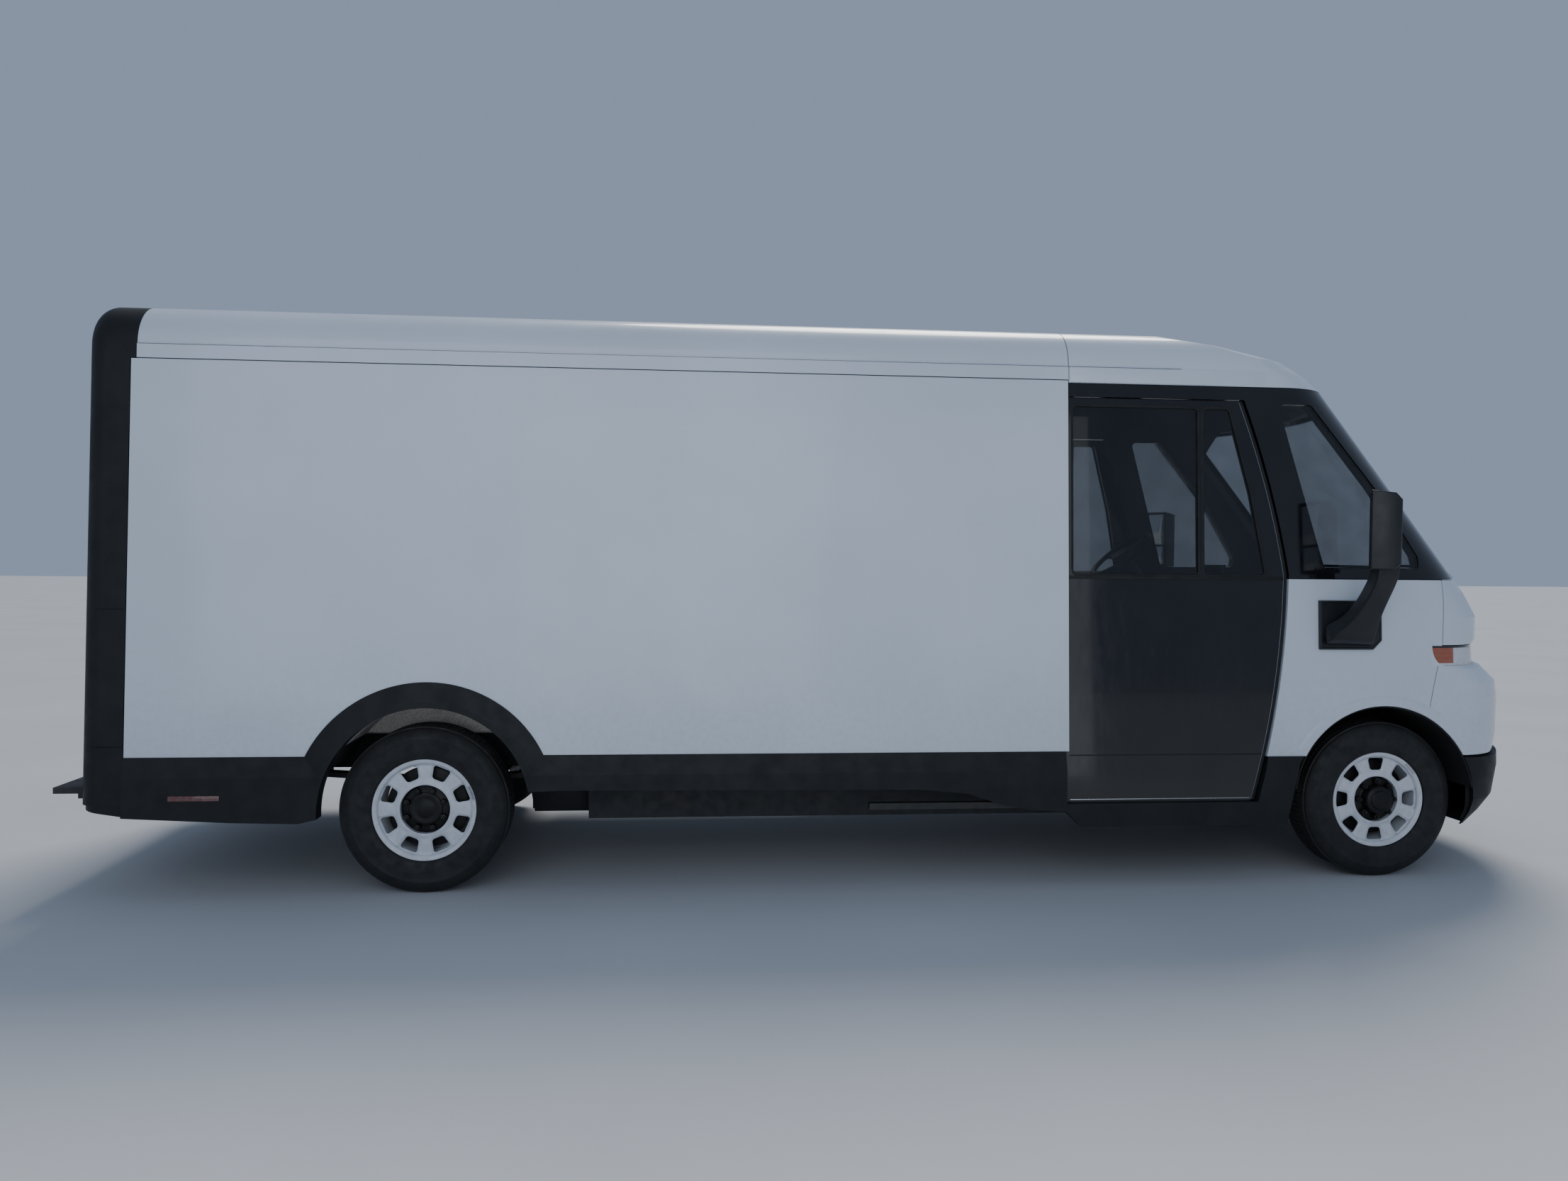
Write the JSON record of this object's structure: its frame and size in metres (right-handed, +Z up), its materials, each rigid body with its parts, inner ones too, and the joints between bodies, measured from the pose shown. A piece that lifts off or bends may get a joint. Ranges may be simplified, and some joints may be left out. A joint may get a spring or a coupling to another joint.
{
  "type": "electric delivery van",
  "caption": "Walk-in electric delivery van with a tall box body, sliding cab doors, bowed nose and steel wheels that roll and steer.",
  "frame": {"origin": "on the ground at the middle of the length and the width", "axes": "+X forward, +Y to the left side, +Z up"},
  "size_m": [7.2998, 2.68, 2.778],
  "materials": {
    "white_paint": "semi-gloss white paint",
    "black_texture": "grained black plastic",
    "black_gloss": "high-gloss black",
    "tinted_glass": "grey tinted glass",
    "screen_glass": "light green glass",
    "lamp_clear": "clear lamp cover with an amber end",
    "lamp_red": "red lamp cover",
    "liner_board": "pale grey lining board",
    "liner_plastic": "dark moulded arch liner",
    "floor_board": "grey non-slip floor",
    "floor_rubber": "ribbed rubber mat",
    "step_rubber": "black rubber step",
    "cab_trim": "dark grey moulded trim",
    "seat_fabric": "dark woven fabric",
    "frame_steel": "black painted steel",
    "spring_steel": "black spring steel",
    "cast_iron": "dark cast iron",
    "battery_case": "cast aluminium case",
    "wheel_white": "white painted steel wheel",
    "tyre": "black tyre rubber"
  },
  "bodies": {
    "root": {"arch_liners": "liner_plastic", "battery_pack": "battery_case", "bulkhead": "liner_board", "cab_floor": "floor_rubber", "cab_roof": "white_paint", "cab_shell": "cab_trim", "cargo_floor": "floor_board", "cargo_liners": "liner_board", "cargo_roof": "white_paint", "cargo_sides": "white_paint", "chassis_frame": "frame_steel", "cladding": "black_texture", "dashboard": "cab_trim", "door_rails": "frame_steel", "drive_unit": "battery_case", "fenders": "white_paint", "front_bumper": "black_texture", "front_fascia": "white_paint", "front_suspension": "cast_iron", "headlamps": "lamp_clear", "lamp_band": "black_texture", "leaf_springs": "spring_steel", "mirrors": "black_texture", "nose_panel": "white_paint", "pillar_panels": "black_gloss", "quarter_glass": "tinted_glass", "rear_axle": "cast_iron", "rear_frame": "black_texture", "rear_step": "step_rubber", "roller_door": "white_paint", "seat_base": "frame_steel", "seat_pads": "seat_fabric", "steering_column": "cab_trim", "tail_lamp": "lamp_red", "windscreen": "screen_glass", "wipers": "black_texture"},
    "steer_right": {"knuckle_right": "cast_iron"},
    "steer_left": {"knuckle_left": "cast_iron"},
    "wheel_front_right": {"rim_front_right": "wheel_white", "tyre_front_right": "tyre"},
    "wheel_front_left": {"rim_front_left": "wheel_white", "tyre_front_left": "tyre"},
    "wheel_rear_right": {"rim_rear_right": "wheel_white", "tyre_rear_right": "tyre"},
    "wheel_rear_left": {"rim_rear_left": "wheel_white", "tyre_rear_left": "tyre"},
    "steering": {"steering_wheel": "cab_trim"},
    "slide_door_right": {"door_right": "black_gloss", "door_glass_right": "tinted_glass"},
    "slide_door_left": {"door_left": "black_gloss", "door_glass_left": "tinted_glass"},
    "bulkhead_slide": {"bulkhead_door": "cab_trim"},
    "flap": {"charge_flap": "white_paint"}
  },
  "joints": [
    {"name": "steer_right", "type": "hinge", "parent": "root", "child": "steer_right", "pos_m": [2.64, -0.76, 0.387], "axis": [0, 0, 1], "range_deg": [-32, 32]},
    {"name": "steer_left", "type": "hinge", "parent": "root", "child": "steer_left", "pos_m": [2.64, 0.76, 0.387], "axis": [0, 0, 1], "range_deg": [-32, 32]},
    {"name": "steering_wheel_turn", "type": "hinge", "parent": "root", "child": "steering", "pos_m": [1.85, 0.43, 1.61], "axis": [-0.6157, 0, 0.788], "range_deg": [-480, 480]},
    {"name": "spin_front_right", "type": "hinge", "parent": "steer_right", "child": "wheel_front_right", "pos_m": [2.64, -0.86, 0.387], "axis": [0, 1, 0], "continuous": true},
    {"name": "spin_front_left", "type": "hinge", "parent": "steer_left", "child": "wheel_front_left", "pos_m": [2.64, 0.86, 0.387], "axis": [0, 1, 0], "continuous": true},
    {"name": "spin_rear_right", "type": "hinge", "parent": "root", "child": "wheel_rear_right", "pos_m": [-2.01, -0.86, 0.387], "axis": [0, 1, 0], "continuous": true},
    {"name": "spin_rear_left", "type": "hinge", "parent": "root", "child": "wheel_rear_left", "pos_m": [-2.01, 0.86, 0.387], "axis": [0, 1, 0], "continuous": true},
    {"name": "door_right_slide", "type": "slide", "parent": "root", "child": "slide_door_right", "axis": [-1, 0, 0], "range_m": [0, 0.9]},
    {"name": "door_left_slide", "type": "slide", "parent": "root", "child": "slide_door_left", "axis": [-1, 0, 0], "range_m": [0, 0.9]},
    {"name": "bulkhead_door_slide", "type": "slide", "parent": "root", "child": "bulkhead_slide", "axis": [0, 1, 0], "range_m": [0, 0.64]},
    {"name": "charge_flap_hinge", "type": "hinge", "parent": "root", "child": "flap", "pos_m": [2.803, 0.99667, 1.145], "axis": [0, 0.0533, -0.9986], "range_deg": [0, 100]}
  ],
  "couplings": [
    {"joint": "steer_left", "follows": "steer_right", "ratio": 1},
    {"joint": "steering_wheel_turn", "follows": "steer_right", "ratio": 15}
  ]
}
